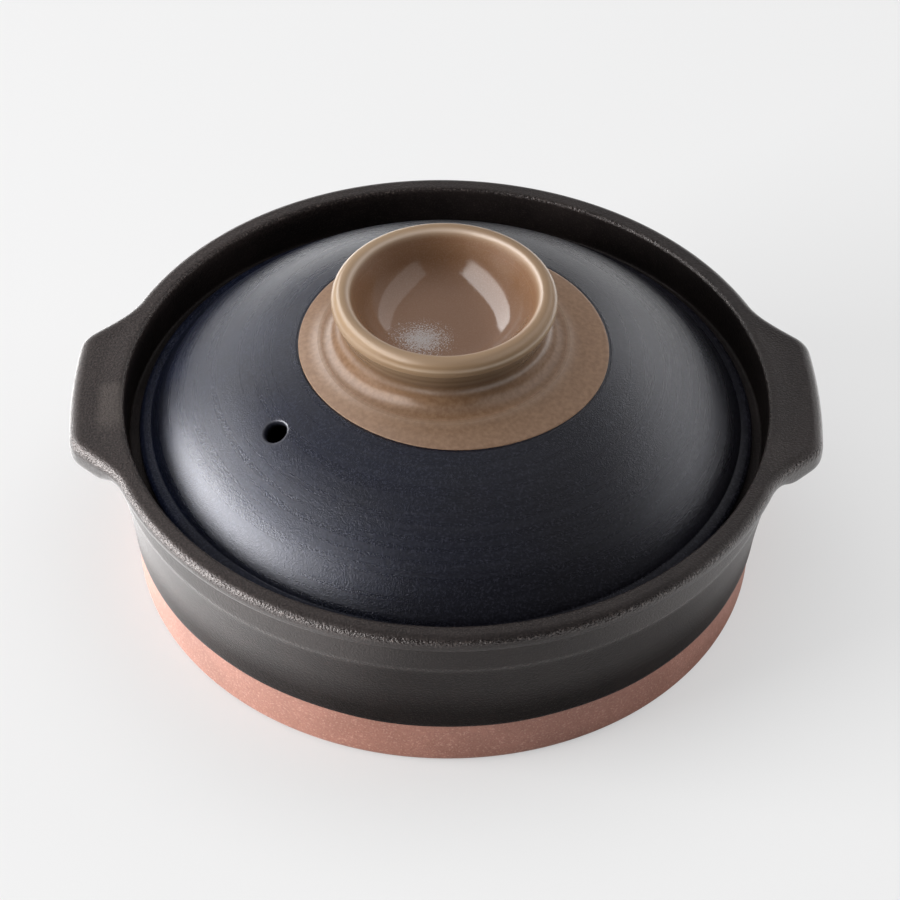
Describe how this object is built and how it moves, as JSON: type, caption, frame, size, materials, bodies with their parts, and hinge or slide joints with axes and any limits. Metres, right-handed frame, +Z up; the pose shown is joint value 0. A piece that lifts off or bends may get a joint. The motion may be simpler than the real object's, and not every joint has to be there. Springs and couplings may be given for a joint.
{
  "type": "donabe clay pot",
  "caption": "Low round clay cooking pot with side lugs and a bare clay foot; its domed lid sits inside the rim and has a ring knob and a steam hole.",
  "frame": {"origin": "middle of the underside, on the surface that the pot stands on", "axes": "+X towards the right lug, +Z up along the axis of the pot, which is also the way the lid lifts"},
  "size_m": [0.2768, 0.254, 0.1225],
  "materials": {
    "bare_clay": "matte, sandy",
    "black_glaze": "satin, fine grain",
    "inner_glaze": "gloss",
    "navy_glaze": "satin, fine throwing lines",
    "tan_glaze": "gloss"
  },
  "bodies": {
    "pot": {"pot_clay_body": "bare_clay", "right_lug": "bare_clay", "left_lug": "bare_clay", "pot_outer_glaze": "black_glaze", "right_lug_glaze": "black_glaze", "left_lug_glaze": "black_glaze", "pot_inner_glaze": "inner_glaze"},
    "lid": {"lid_clay_dome": "bare_clay", "lid_navy_glaze": "navy_glaze", "lid_inner_glaze": "inner_glaze", "knob_ring": "bare_clay", "knob_tan_glaze": "tan_glaze"}
  },
  "joints": [
    {"name": "lid_lift", "type": "slide", "parent": "pot", "child": "lid", "axis": [0, 0, 1], "range_m": [0, 0.15]}
  ]
}
